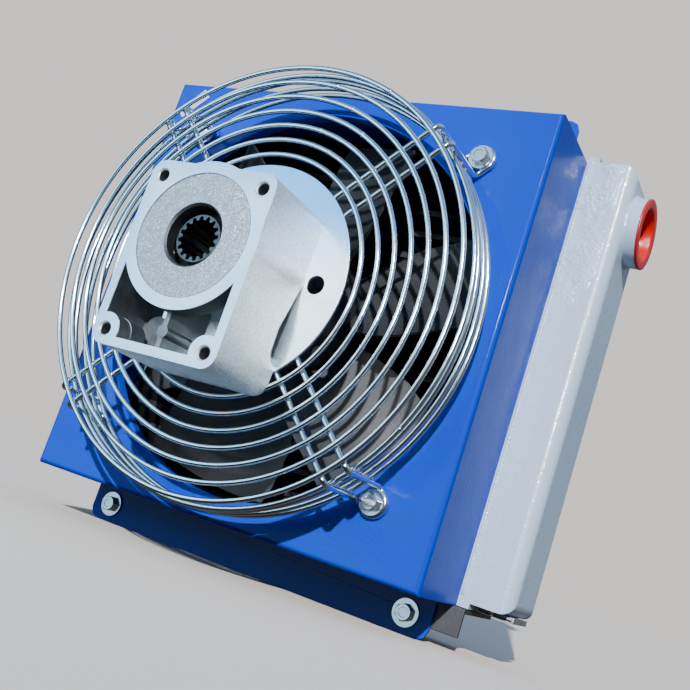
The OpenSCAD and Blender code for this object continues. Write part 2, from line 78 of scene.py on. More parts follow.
# --------------------------------------------------------------------------
# node helpers
class Mat:
    def __init__(self, name):
        self.m = bpy.data.materials.new(name)
        self.m.use_nodes = True
        self.nt = self.m.node_tree
        self.b = self.nt.nodes["Principled BSDF"]
        self.tc = self.nt.nodes.new("ShaderNodeTexCoord")

    def set(self, **kw):
        names = {"rough": "Roughness", "metal": "Metallic", "coat": "Coat Weight", "coat_r": "Coat Roughness",
                 "sub": "Subsurface Weight", "ior": "IOR", "spec": "Specular IOR Level", "aniso": "Anisotropic",
                 "color": "Base Color", "sub_r": "Subsurface Radius", "sub_s": "Subsurface Scale"}
        for k, v in kw.items():
            self.b.inputs[names[k]].default_value = v
        return self

    def link(self, a, b):
        self.nt.links.new(a, b)

    def noise(self, scale, detail=4.0, rough=0.55, dist=0.0, stretch=None, coords=None):
        n = self.nt.nodes.new("ShaderNodeTexNoise")
        n.inputs["Scale"].default_value = scale
        n.inputs["Detail"].default_value = detail
        n.inputs["Roughness"].default_value = rough
        n.inputs["Distortion"].default_value = dist
        src = coords or self.tc.outputs["Object"]
        if stretch:
            mp = self.nt.nodes.new("ShaderNodeMapping")
            mp.inputs["Scale"].default_value = stretch
            self.link(src, mp.inputs["Vector"])
            src = mp.outputs["Vector"]
        self.link(src, n.inputs["Vector"])
        return n.outputs["Fac"]

    def voronoi(self, scale, feature="F1", rand=1.0, out="Distance"):
        n = self.nt.nodes.new("ShaderNodeTexVoronoi")
        n.feature = feature
        n.inputs["Scale"].default_value = scale
        n.inputs["Randomness"].default_value = rand
        self.link(self.tc.outputs["Object"], n.inputs["Vector"])
        return n.outputs[out]

    def ramp(self, fac, stops):
        r = self.nt.nodes.new("ShaderNodeValToRGB")
        els = r.color_ramp.elements
        while len(els) < len(stops):
            els.new(0.5)
        for e, (p, c) in zip(els, stops):
            e.position = p
            e.color = c if len(c) == 4 else (*c, 1.0)
        self.link(fac, r.inputs["Fac"])
        return r.outputs["Color"]

    def rng(self, fac, a, b, lo, hi):
        r = self.nt.nodes.new("ShaderNodeMapRange")
        r.inputs["From Min"].default_value, r.inputs["From Max"].default_value = a, b
        r.inputs["To Min"].default_value, r.inputs["To Max"].default_value = lo, hi
        self.link(fac, r.inputs["Value"])
        return r.outputs["Result"]

    def mix(self, fac, a, b):
        n = self.nt.nodes.new("ShaderNodeMix")
        n.data_type = "RGBA"
        if isinstance(fac, (int, float)):
            n.inputs[0].default_value = fac
        else:
            self.link(fac, n.inputs[0])
        for s, v in ((6, a), (7, b)):
            if isinstance(v, tuple):
                n.inputs[s].default_value = v if len(v) == 4 else (*v, 1.0)
            else:
                self.link(v, n.inputs[s])
        return n.outputs[2]

    def math(self, op, a, b=None, c=None):
        n = self.nt.nodes.new("ShaderNodeMath")
        n.operation = op
        for i, v in enumerate((a, b, c)):
            if v is None:
                continue
            if isinstance(v, (int, float)):
                n.inputs[i].default_value = v
            else:
                self.link(v, n.inputs[i])
        return n.outputs[0]

    def xyz(self):
        s = self.nt.nodes.new("ShaderNodeSeparateXYZ")
        self.link(self.tc.outputs["Object"], s.inputs[0])
        return s.outputs

    def bump(self, height, strength, dist, normal=None):
        b = self.nt.nodes.new("ShaderNodeBump")
        b.inputs["Strength"].default_value = strength
        b.inputs["Distance"].default_value = dist
        self.link(height, b.inputs["Height"])
        if normal is not None:
            self.link(normal, b.inputs["Normal"])
        return b.outputs["Normal"]

    def out(self, color=None, rough=None, normal=None, metal=None, coat_normal=None):
        if color is not None:
            self.link(color, self.b.inputs["Base Color"])
        if rough is not None:
            self.link(rough, self.b.inputs["Roughness"])
        if normal is not None:
            self.link(normal, self.b.inputs["Normal"])
        if metal is not None:
            self.link(metal, self.b.inputs["Metallic"])
        if coat_normal is not None:
            self.link(coat_normal, self.b.inputs["Coat Normal"])
        return self.m


# --------------------------------------------------------------------------
# materials
def m_blue():
    m = Mat("blue_powder_coat").set(coat=0.32, coat_r=0.06, ior=1.40, spec=0.08)
    big = m.noise(9, 3)
    fine = m.noise(900, 2)
    col = m.ramp(big, [(0.3, (0.0003, 0.048, 0.56)), (0.7, (0.0005, 0.057, 0.62))])
    dust = m.rng(m.noise(2600, 1), 0.72, 0.80, 0.0, 0.22)
    col = m.mix(dust, col, (0.05, 0.16, 0.62))
    peel = m.bump(m.noise(420, 2, 0.5, 0.3), 0.22, 0.0006)
    peel2 = m.bump(fine, 0.10, 0.0002, peel)
    rough = m.rng(m.noise(60, 3), 0.3, 0.7, 0.30, 0.38)
    x, y, z = m.xyz()
    # painted shade: the side walls (|x| beyond about 149 mm) are mixed towards a darker blue; their coat is also
    # thinner (next line)
    col = m.mix(m.rng(m.math("ABSOLUTE", x), 0.1488, 0.1496, 0.0, 0.5), col, (0.0002, 0.036, 0.37))
    m.link(m.rng(m.math("ABSOLUTE", x), 0.1488, 0.1496, 0.34, 0.15), m.b.inputs["Coat Weight"])
    return m.out(col, rough, peel2, coat_normal=peel)


def m_tank():
    m = Mat("tank_grey_paint").set(coat=0.6, coat_r=0.08, ior=1.5)
    col = m.ramp(m.noise(14, 4), [(0.3, (0.54, 0.70, 0.90)), (0.7, (0.58, 0.74, 0.93))])
    grime = m.rng(m.noise(700, 3), 0.70, 0.80, 0.0, 0.12)
    col = m.mix(grime, col, (0.42, 0.46, 0.50))
    n1 = m.bump(m.noise(230, 3, 0.6, 0.4), 0.40, 0.0007)
    # coarse, hammered texture near the upper end
    x, y, z = m.xyz()
    up = m.rng(z, 0.045, 0.085, 0.0, 1.0)
    patch = m.math("MULTIPLY", up, m.rng(m.noise(45, 3), 0.42, 0.60, 0.0, 1.0))
    patch = m.math("MULTIPLY", patch, m.rng(m.math("ABSOLUTE", x), 0.166, 0.176, 1.0, 0.0))
    patch = m.math("MULTIPLY", patch, m.rng(y, 0.1728, 0.1745, 1.0, 0.0))
    rough_h = m.math("MULTIPLY", patch, m.noise(430, 2, 0.5, 0.6))
    n3 = m.bump(rough_h, 1.0, 0.0060, n1)
    n2 = m.bump(m.noise(1300, 2), 0.14, 0.0002, m.bump(rough_h, 0.8, 0.0018, n1))
    return m.out(col, m.rng(m.noise(90, 3), 0.3, 0.7, 0.30, 0.40), n2, coat_normal=n3)


def m_core():
    m = Mat("core_black").set(ior=1.45)
    col = m.ramp(m.noise(60, 5, 0.65), [(0.35, (0.012, 0.013, 0.015)), (0.72, (0.040, 0.045, 0.052))])
    n1 = m.bump(m.noise(800, 3), 0.3, 0.0003)
    return m.out(col, m.rng(m.noise(200, 3), 0.3, 0.7, 0.38, 0.6), n1)


def m_fin():
    m = Mat("core_fin_black").set(metal=0.25, ior=1.45)
    col = m.ramp(m.noise(220, 4, 0.7), [(0.35, (0.010, 0.011, 0.012)), (0.70, (0.045, 0.047, 0.050))])
    n1 = m.bump(m.noise(1500, 2), 0.3, 0.0002)
    return m.out(col, m.rng(m.noise(300, 3), 0.3, 0.7, 0.28, 0.5), n1)


def m_bracket_grey():
    m = Mat("bracket_grey_paint_and_shade").set(coat=0.15, coat_r=0.3)
    # partly painted shade: the dark grey paint is made darker still, standing in for the shade this plate sits in
    col = m.ramp(m.noise(40, 5, 0.6), [(0.3, (0.040, 0.042, 0.046)), (0.75, (0.070, 0.073, 0.080))])
    n1 = m.bump(m.noise(500, 3, 0.55), 0.3, 0.0005)
    return m.out(col, m.rng(m.noise(120, 3), 0.3, 0.7, 0.42, 0.6), n1)


def m_foot():
    m = Mat("foot_raw_metal").set(metal=0.85)
    col = m.ramp(m.noise(80, 5, 0.65), [(0.3, (0.33, 0.34, 0.35)), (0.75, (0.52, 0.53, 0.54))])
    n1 = m.bump(m.noise(300, 3, 0.55, 0, (1, 12, 12)), 0.25, 0.0003)
    return m.out(col, m.rng(m.noise(150, 3), 0.3, 0.7, 0.35, 0.55), n1)


def m_red():
    m = Mat("plug_red_plastic").set(ior=1.46, sub=0.25, sub_r=(0.004, 0.0012, 0.0008), sub_s=1.0)
    col = m.ramp(m.noise(55, 4), [(0.3, (0.66, 0.006, 0.004)), (0.75, (0.76, 0.010, 0.006))])
    n1 = m.bump(m.noise(600, 3, 0.5), 0.12, 0.0003)
    n2 = m.bump(m.noise(90, 2), 0.2, 0.0006, n1)
    return m.out(col, m.rng(m.noise(120, 3), 0.3, 0.7, 0.28, 0.40), n2)


def m_wire():
    m = Mat("bright_zinc_wire").set(metal=1.0)
    col = m.ramp(m.noise(60, 2, 0.5), [(0.30, (0.74, 0.86, 0.92)), (0.7, (0.80, 0.92, 0.97))])
    n1 = m.bump(m.noise(380, 2, 0.5), 0.04, 0.0002)
    return m.out(col, m.rng(m.noise(140, 2, 0.5), 0.3, 0.7, 0.11, 0.15), n1)


def m_disc():
    m = Mat("zinc_plated_sheet").set(metal=0.85)
    col = m.ramp(m.noise(25, 5, 0.6), [(0.3, (0.76, 0.88, 0.95)), (0.75, (0.84, 0.95, 1.0))])
    x, y, z = m.xyz()
    # painted shade: the disc is mixed towards a darker blue from z 4 mm up to 46 mm
    col = m.mix(m.rng(z, 0.004, 0.046, 0.0, 0.95), col, (0.22, 0.47, 0.86))
    n1 = m.bump(m.noise(700, 3, 0.5, 0, (1, 1, 0.12)), 0.06, 0.0002)
    n2 = m.bump(m.noise(60, 2), 0.05, 0.0005, n1)
    return m.out(col, m.rng(m.noise(130, 4, 0.6), 0.3, 0.75, 0.22, 0.29), n2)


def m_fast(name="bright_zinc_fastener"):
    m = Mat(name).set(metal=1.0)
    col = m.ramp(m.noise(140, 3, 0.5), [(0.30, (0.84, 0.90, 0.94)), (0.70, (0.90, 0.95, 0.98))])
    n1 = m.bump(m.noise(700, 3, 0.5), 0.07, 0.0002)
    return m.out(col, m.rng(m.noise(300, 3, 0.5), 0.3, 0.75, 0.12, 0.18), n1)


def m_cast():
    m = Mat("die_cast_aluminium").set(metal=0.92)
    x, y, z = m.xyz()
    r = m.math("SQRT", m.math("ADD", m.math("MULTIPLY", x, x), m.math("MULTIPLY", z, z)))
    # machined motor face: y within 0.25 mm of 0
    face = m.math("LESS_THAN", y, 0.00025)
    # as-cast sparkling annulus inside the ring
    ann = m.math("MULTIPLY", m.math("MULTIPLY", m.math("LESS_THAN", r, 0.0377), m.math("GREATER_THAN", r, 0.0195)), m.math("LESS_THAN", y, 0.0013))
    grain = m.noise(1500, 4, 0.7)
    spark = m.voronoi(1700, out="Color")
    sv = m.nt.nodes.new("ShaderNodeSeparateColor")
    m.link(spark, sv.inputs[0])
    fleck = m.rng(sv.outputs[0], 0.0, 1.0, 0.0, 1.0)
    shade = m.noise(34, 5, 0.62)
    cast = m.ramp(shade, [(0.30, (0.84, 0.92, 0.95)), (0.72, (0.93, 0.99, 1.0))])
    dark = m.rng(m.noise(95, 5, 0.7), 0.58, 0.80, 0.0, 0.30)
    cast = m.mix(dark, cast, (0.50, 0.54, 0.56))
    sc = m.nt.nodes.new("ShaderNodeSeparateColor")
    m.link(m.voronoi(1150, out="Color"), sc.inputs[0])
    cast = m.mix(m.rng(sc.outputs[1], 0.35, 1.0, 0.0, 0.48), cast, (0.34, 0.38, 0.40))
    annc = m.ramp(fleck, [(0.0, (0.26, 0.28, 0.32)), (0.55, (0.40, 0.43, 0.48)), (0.8, (0.52, 0.56, 0.62)), (1.0, (0.95, 1.0, 1.0))])
    mach = m.ramp(m.noise(400, 3, 0.5, 0, (0.06, 1, 1)), [(0.3, (0.70, 0.76, 0.85)), (0.7, (0.82, 0.87, 0.95))])
    mach = m.mix(m.rng(m.noise(24, 3), 0.38, 0.66, 0.0, 0.55), mach, (0.58, 0.64, 0.75))
    # painted shade: the machined face is darker towards its top and its left side
    upper_left_shade = m.math("MAXIMUM", m.rng(z, 0.024, 0.054, 0.0, 0.85), m.rng(x, -0.030, -0.052, 0.0, 0.70))
    mach = m.mix(upper_left_shade, mach, (0.33, 0.39, 0.52))
    # painted shade: darker colour inside the windows and the pilot bore, standing in for the shade in these recesses
    inside_shade = m.math("MULTIPLY", m.math("LESS_THAN", m.math("ABSOLUTE", x), 0.0392), m.math("GREATER_THAN", y, 0.0007))
    inside_shade = m.math("MULTIPLY", inside_shade, m.math("GREATER_THAN", z, -0.0677))
    cast = m.mix(inside_shade, cast, m.ramp(m.noise(60, 5, 0.65), [(0.3, (0.15, 0.17, 0.19)), (0.7, (0.28, 0.31, 0.33))]))
    # painted shade: the pilot bore's wall is mixed towards near-black
    bore = m.math("MULTIPLY", m.math("LESS_THAN", r, 0.0195), m.math("GREATER_THAN", y, 0.0006))
    cast = m.mix(m.math("MULTIPLY", bore, 0.85), cast, (0.07, 0.08, 0.085))
    col = m.mix(ann, cast, annc)
    col = m.mix(face, col, mach)
    # painted shade: a thin dark ring along the step at the annulus edge
    line = m.math("LESS_THAN", m.math("ABSOLUTE", m.math("SUBTRACT", r, 0.0378)), 0.00022)
    col = m.mix(m.math("MULTIPLY", line, m.math("LESS_THAN", y, 0.0013)), col, (0.22, 0.24, 0.27))
    rc = m.rng(grain, 0.3, 0.7, 0.36, 0.52)
    ra = m.rng(fleck, 0.0, 1.0, 0.45, 0.25)
    rm = m.rng(m.noise(220, 3), 0.3, 0.7, 0.20, 0.28)
    mixf = m.nt.nodes.new("ShaderNodeMix"); mixf.data_type = "FLOAT"
    m.link(ann, mixf.inputs[0]); m.link(rc, mixf.inputs[2]); m.link(ra, mixf.inputs[3])
    mixg = m.nt.nodes.new("ShaderNodeMix"); mixg.data_type = "FLOAT"
    m.link(face, mixg.inputs[0]); m.link(mixf.outputs[0], mixg.inputs[2]); m.link(rm, mixg.inputs[3])
    rough_h = m.math("MULTIPLY", grain, m.math("SUBTRACT", 1.0, face))
    fl_h = m.math("MULTIPLY", fleck, ann)
    n0 = m.bump(m.noise(900, 2, 0.5, 0, (0.04, 1, 1)), 0.05, 0.0001)
    n1 = m.bump(rough_h, 0.60, 0.0005, n0)
    n2 = m.bump(fl_h, 0.6, 0.0003, n1)
    n3 = m.bump(m.math("MULTIPLY", m.noise(120, 3), m.math("SUBTRACT", 1.0, face)), 0.25, 0.0010, n2)
    metal = m.math("ADD", 0.64, m.math("MULTIPLY", m.math("MAXIMUM", m.math("MAXIMUM", face, ann), inside_shade), 0.33))
    return m.out(col, mixg.outputs[0], n3, metal)


def m_bearing():
    m = Mat("bearing_ground_steel").set(metal=1.0)
    col = m.ramp(m.noise(200, 3), [(0.3, (0.42, 0.42, 0.43)), (0.7, (0.55, 0.55, 0.56))])
    n1 = m.bump(m.noise(900, 2), 0.05, 0.0001)
    return m.out(col, m.rng(m.noise(300, 3), 0.3, 0.7, 0.16, 0.26), n1)


def m_circlip():
    m = Mat("phosphated_spring_steel").set(metal=0.6)
    col = m.ramp(m.noise(300, 4), [(0.3, (0.035, 0.036, 0.038)), (0.7, (0.07, 0.07, 0.075))])
    return m.out(col, m.rng(m.noise(400, 3), 0.3, 0.7, 0.35, 0.5), m.bump(m.noise(1500, 2), 0.2, 0.0001))


def m_sleeve():
    m = Mat("oiled_steel_and_painted_shade").set(metal=1.0)
    # partly painted shade: the oiled steel is made very dark, standing in for the shade deep in the bore
    col = m.ramp(m.noise(160, 5, 0.65), [(0.3, (0.055, 0.056, 0.058)), (0.75, (0.13, 0.13, 0.135))])
    n1 = m.bump(m.noise(700, 3, 0.5, 0, (1, 0.05, 1)), 0.15, 0.0002)
    return m.out(col, m.rng(m.noise(350, 3), 0.3, 0.7, 0.28, 0.42), n1)


def m_fan():
    m = Mat("black_filled_nylon").set(ior=1.5)
    col = m.ramp(m.noise(26, 5, 0.65), [(0.3, (0.020, 0.023, 0.027)), (0.75, (0.042, 0.047, 0.052))])
    dust = m.rng(m.noise(1400, 3, 0.6), 0.60, 0.78, 0.0, 0.22)
    col = m.mix(dust, col, (0.12, 0.125, 0.13))
    n1 = m.bump(m.noise(650, 3, 0.55), 0.28, 0.0003)
    return m.out(col, m.rng(m.noise(180, 4), 0.3, 0.7, 0.36, 0.55), n1)


def m_label():
    m = Mat("blank_vinyl_film").set(coat=0.25, coat_r=0.15, ior=1.45)
    col = m.ramp(m.noise(140, 3), [(0.3, (0.74, 0.70, 0.82)), (0.7, (0.80, 0.76, 0.87))])
    scuff = m.rng(m.noise(900, 3), 0.64, 0.78, 0.0, 0.25)
    col = m.mix(scuff, col, (0.45, 0.44, 0.50))
    return m.out(col, m.rng(m.noise(200, 3), 0.3, 0.7, 0.32, 0.45), m.bump(m.noise(350, 2), 0.15, 0.0003))


M = {"blue_paint": m_blue(), "tank_paint": m_tank(), "core_black": m_core(), "fin": m_fin(), "bracket_grey": m_bracket_grey(),
     "foot_steel": m_foot(), "plug_red": m_red(), "guard_wire": m_wire(), "guard_disc": m_disc(), "fastener": m_fast(),
     "cast_alu": m_cast(), "bearing_steel": m_bearing(), "circlip_black": m_circlip(), "sleeve_steel": m_sleeve(),
     "fan_plastic": m_fan(), "label_film": m_label()}

for s in frame["record"]["subparts"]:
    o = N.get(s["node"])
    if o is not None:
        o.data.materials.clear()
        o.data.materials.append(M[s["material_slot"]])


# --------------------------------------------------------------------------
# mesh helpers
def make(name, verts, faces, body, slot, mat=None, smooth=True, sharp=None, scale=MM):
    me = bpy.data.meshes.new(name)
    me.from_pydata([tuple(c * scale for c in v) for v in verts], [], faces)
    me.validate()
    me.update()
    return place(name, me, body, slot, mat, smooth, sharp)


def place(name, me, body, slot, mat=None, smooth=True, sharp=None):
    ob = bpy.data.objects.new(name, me)
    COL.objects.link(ob)
    me.materials.clear()
    me.materials.append(mat or M[slot])
    me.polygons.foreach_set("use_smooth", [smooth] * len(me.polygons))
    if smooth and sharp is not None:
        me.set_sharp_from_angle(angle=math.radians(sharp))
    me.update()
    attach(ob, body)
    return ob


class Build:
    """Collects vertices and faces of several parts into one mesh."""

    def __init__(self):
        self.v, self.f = [], []

    def add(self, verts, faces):
        k = len(self.v)
        self.v.extend(verts)
        self.f.extend([tuple(i + k for i in f) for f in faces])

    def grid(self, rows, closed_u=True, closed_v=False, cap=False):
        """rows: list of equally long vertex rings."""
        n, m = len(rows), len(rows[0])
        k = len(self.v)
        for r in rows:
            self.v.extend(r)
        for i in range(n if closed_v else n - 1):
            j2 = (i + 1) % n
            for j in range(m if closed_u else m - 1):
                self.f.append((k + i * m + j, k + i * m + (j + 1) % m, k + j2 * m + (j + 1) % m, k + j2 * m + j))
        if cap:
            self.f.append(tuple(k + j for j in reversed(range(m))))
            self.f.append(tuple(k + (n - 1) * m + j for j in range(m)))

    def done(self, name, body, slot, mat=None, smooth=True, sharp=35):
        return make(name, self.v, self.f, body, slot, mat, smooth, sharp)


def frame_of(axis):
    """Two unit vectors square to axis."""
    a = Vector(axis).normalized()
    u = a.cross(Vector((0, 0, 1)))
    if u.length < 1e-4:
        u = a.cross(Vector((1, 0, 0)))
    u.normalize()
    return a, u, a.cross(u).normalized()


def lathe(b, origin, axis, profile, seg=48, phase=0.0, warp=None):
    """profile: (radius, distance along axis) pairs."""
    a, u, w = frame_of(axis)
    o = Vector(origin)
    rows = []
    for i, (r, t) in enumerate(profile):
        row = []
        for k in range(seg):
            th = phase + 2 * math.pi * k / seg
            rr = r if warp is None else warp(r, t, th)
            row.append(tuple(o + a * t + u * (rr * math.cos(th)) + w * (rr * math.sin(th))))
        rows.append(row)
    b.grid(rows)


def hex_r(th, apothem, phase=0.0):
    q = (th - phase) % (math.pi / 3) - math.pi / 6
    return apothem / math.cos(q)


def hex_solid(b, origin, axis, af, h, phase=0.0, both=False, dish=0.0, bore=0.0, seg=72):
    """Hexagon of height h from origin along axis, with the cone chamfer that real heads and nuts have on top (and below if both)."""
    a, u, w = frame_of(axis)
    o = Vector(origin)
    ap = af / 2
    rc = ap * 0.955
    tan = math.tan(math.radians(30))

    def drop(rad):
        return max(0.0, (rad - rc) * tan)

    fr = [0.0, 0.30, 0.58, 0.64, 0.86] if bore <= 0 else [bore / rc, (bore + 0.7) / rc, 0.86]
    rows = []

    def ring(radial, height):
        row = []
        for k in range(seg):
            th = 2 * math.pi * k / seg
            rr, hh = radial(th), height(th)
            row.append(tuple(o + a * hh + u * (rr * math.cos(th)) + w * (rr * math.sin(th))))
        rows.append(row)

    def outer(th):
        return hex_r(th, ap, phase)

    if both:
        if bore > 0:
            ring(lambda th: bore, lambda th: 0.6)
        for f in (fr[1:] if bore > 0 else fr):
            ring(lambda th, f=f: rc * f, lambda th: 0.0)
        ring(lambda th: rc, lambda th: 0.0)
        ring(outer, lambda th: drop(outer(th)))
    else:
        ring(lambda th: 0.0 if bore <= 0 else bore, lambda th: 0.0)
        ring(lambda th: outer(th) - 0.15, lambda th: 0.0)
        ring(outer, lambda th: 0.15)
    ring(outer, lambda th: h * 0.5)
    ring(outer, lambda th: h - drop(outer(th)) - 0.05)
    ring(lambda th: rc + (outer(th) - rc) * 0.9, lambda th: h - drop(rc + (outer(th) - rc) * 0.9))
    ring(lambda th: rc, lambda th: h)
    for f in reversed(fr[1:] if bore > 0 else fr):
        d = dish if f < 0.6 else 0.0
        ring(lambda th, f=f: rc * f, lambda th, d=d: h - d)
    if bore > 0:
        ring(lambda th: bore, lambda th: h - 0.6)
        b.grid(rows, closed_v=True)
    else:
        b.grid(rows)


def thread_rod(b, origin, axis, r, length, pitch=1.25, seg=24, sub=4, tip=1.0):
    """Screw thread: a radius that follows a helix, with a chamfered tip."""
    a, u, w = frame_of(axis)
    o = Vector(origin)
    n = max(2, int(length / pitch * sub))
    rows = []
    depth = 0.6134 * pitch * 0.85
    for i in range(n + 1):
        t = length * i / n
        row = []
        for k in range(seg):
            th = 2 * math.pi * k / seg
            ph = (t / pitch - k / seg) % 1.0
            saw = abs(ph - 0.5) * 2
            rr = r - depth * saw
            if length - t < tip:
                rr = min(rr, r - (tip - (length - t)) * 0.9)
            row.append(tuple(o + a * t + u * (rr * math.cos(th)) + w * (rr * math.sin(th))))
        rows.append(row)
    b.grid(rows, cap=True)


def washer(b, origin, axis, r_in, r_out, h, seg=56, e=0.28, dome=0.0):
    lathe(b, origin, axis, [(r_in, e * 0.6), (r_in + e * 0.6, 0), (r_out - e, 0), (r_out, e), (r_out, h - e), (r_out - e, h),
                            (0.5 * (r_in + r_out), h + dome), (r_in + e * 0.6, h), (r_in, h - e * 0.6), (r_in, e * 0.6)], seg)


def dress(node, width, seg=2, angle=32, weld=True, clamp=True):
    """Rounds a CAD node's hard edges with modifiers only."""
    o = N[node]
    me = o.data
    if "custom_normal" in me.attributes:
        me.attributes.remove(me.attributes["custom_normal"])
    me.polygons.foreach_set("use_smooth", [True] * len(me.polygons))
    if weld:
        w = o.modifiers.new("weld", "WELD")
        w.merge_threshold = 0.00002
    b = o.modifiers.new("bevel", "BEVEL")
    b.width, b.segments, b.limit_method, b.angle_limit = width * MM, seg, "ANGLE", math.radians(angle)
    b.use_clamp_overlap = clamp
    b.harden_normals = False
    b.miter_outer = "MITER_ARC"
    n = o.modifiers.new("normals", "WEIGHTED_NORMAL")
    n.keep_sharp = False
    n.weight = 80
    return o


# --------------------------------------------------------------------------
# sheet metal: broken edges
dress("shroud", 0.35, 2)
dress("guard_disc", 0.3, 2)
dress("core_bracket_lower", 0.4, 2)
dress("core_bracket_upper", 0.4, 2)
dress("tank_feet", 0.3, 2)
dress("header_plates", 0.12, 2)
dress("blank_label", 0.15, 2)
dress("core_tubes", 0.35, 2)
dress("core_side_plates", 0.3, 2)
dress("port_boss_left", 0.5, 2)
dress("port_boss_right", 0.5, 2)
dress("drive_sleeve", 0.18, 2, 28)
dress("bearing_spacer", 0.3, 2)
dress("fan_key", 0.3, 2)

# --------------------------------------------------------------------------
# hexagon bolts, nuts and washers
BB = [(33, 34), (-33, 34), (29, -52), (-29, -52)]


def bolts(name, node, body, places, y_head, y_tip, head_h=4.0, af=10.0, r=2.95):
    b = Build()
    for i, (x, z, ph) in enumerate(places):
        hex_solid(b, (x, y_head, z), (0, -1, 0), af, head_h, phase=ph, dish=0.45)
        lathe(b, (x, y_head - 0.5, z), (0, 1, 0), [(r, 0), (r, 2.4)], 24)
        thread_rod(b, (x, y_head + 1.5, z), (0, 1, 0), r, y_tip - y_head - 1.5, 1.0)
    o = b.done(name, body, "fastener", sharp=25)
    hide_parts(node)
    return o


bolts("guard_bolts_hex", "guard_bolts", "cooler",
      [(x, z, ph) for (x, z), ph in zip(GUARD_XZ, (0.0, 0.3, 0.62, 0.1))], FACE_Y - 3.8 - 1.6, FACE_Y + 10)
bolts("shroud_bolts_hex", "shroud_bolts", "cooler",
      [(FLANGE_X, FLANGE_Z, 0.2), (FLANGE_X, -FLANGE_Z, 0.45), (-FLANGE_X, FLANGE_Z, 0.8), (-FLANGE_X, -FLANGE_Z, 0.15)],
      FLANGE_Y - 2 - 1.6, FLANGE_Y + 3 + 8)


def rear_bolts(name, node, body, places, y_head, y_tip, head_h=5.3, af=13.0, r=3.95):
    b = Build()
    for x, z, ph in places:
        hex_solid(b, (x, y_head, z), (0, 1, 0), af, head_h, phase=ph, dish=0.35)
        thread_rod(b, (x, y_head + 0.2, z), (0, -1, 0), r, y_head - y_tip)
    o = b.done(name, body, "fastener", sharp=25)
    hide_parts(node)
    return o


rear_bolts("bracket_bolts_hex", "bracket_bolts", "cooler", [(x, z, 0.2 * i) for i, (x, z) in enumerate(BB)], 56 + 2 + 1.6, 42.2)
rear_bolts("fan_bolt_hex", "fan_bolt", "fan", [(0, 0, 0.3)], 151.5, 134.2)


def nuts(name, node, places, y0):
    b = Build()
    for i, (x, z) in enumerate(places):
        hex_solid(b, (x, y0, z), (0, 1, 0), 10.0, 5.0, phase=0.3 * i, both=True, bore=3.02)
    o = b.done(name, "cooler", "fastener", sharp=25)
    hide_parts(node)


nuts("shroud_nuts_hex", "shroud_nuts", [(sx * FLANGE_X, sz * FLANGE_Z) for sx in (-1, 1) for sz in (-1, 1)], FLANGE_Y + 3)
nuts("guard_nuts_hex", "guard_nuts", GUARD_XZ, FACE_Y + 2)


def washers(name, node, body, places, y0, y1, ro, ri=4.2, dome=0.0):
    b = Build()
    for x, z in places:
        washer(b, (x, y1, z), (0, -1, 0), ri, ro, y1 - y0, dome=dome)
    o = b.done(name, body, "fastener", sharp=30)
    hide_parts(node)


washers("guard_washers_round", "guard_washers", "cooler", GUARD_XZ, FACE_Y - 3.8 - 1.6, FACE_Y - 3.8, 8.0, 3.2)
washers("shroud_washers_round", "shroud_washers", "cooler", [(sx * FLANGE_X, sz * FLANGE_Z) for sx in (-1, 1) for sz in (-1, 1)],
        FLANGE_Y - 3.6, FLANGE_Y - 2, 9.0, 3.2)
washers("bracket_washers_round", "bracket_washers", "cooler", BB, 58, 59.6, 8)
washers("fan_washer_round", "fan_washer", "fan", [(0, 0)], 149.5, 151.5, 16)

# --------------------------------------------------------------------------
# core: lanced, offset fin strips in every air passage
N_TUBE, SIDE_T, TUBE_H = 17, 1.8, 4.2
FIN_H = (300 - 2 * SIDE_T - N_TUBE * TUBE_H) / (N_TUBE + 1)


def core_fins():
    b = Build()
    pitch, t = 3.3, 0.0
    waves = int(296 / pitch)
    x0 = -waves * pitch / 2
    bands = [(174.6, 182.6), (182.6, 190.6), (190.6, 206.0), (206.0, 223.4)]
    r2 = random.Random(3)
    for i in range(N_TUBE + 1):
        z0 = -HW + SIDE_T + i * (FIN_H + TUBE_H) + 0.05
        z1 = z0 + FIN_H - 0.1
        for k, (ya, yb) in enumerate(bands):
            off = 0.5 * pitch * (k % 2)
            pts = []
            for w in range(waves):
                xa = x0 + w * pitch + off * 0.5
                j = r2.uniform(-0.22, 0.22)
                pts += [(xa + 0.25 + j, z0), (xa + pitch * 0.32 + j, z0), (xa + pitch * 0.5 + j, z1), (xa + pitch * 0.82 + j, z1)]
            row_a = [(max(-149.5, min(149.5, x)), ya, z) for x, z in pts]
            row_b = [(max(-149.5, min(149.5, x)), yb, z) for x, z in pts]
            b.grid([row_a, row_b], closed_u=False)
    o = b.done("core_fins_lanced", "cooler", "core_black", M["fin"], smooth=False)
    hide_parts("core_fins")
    return o


core_fins()


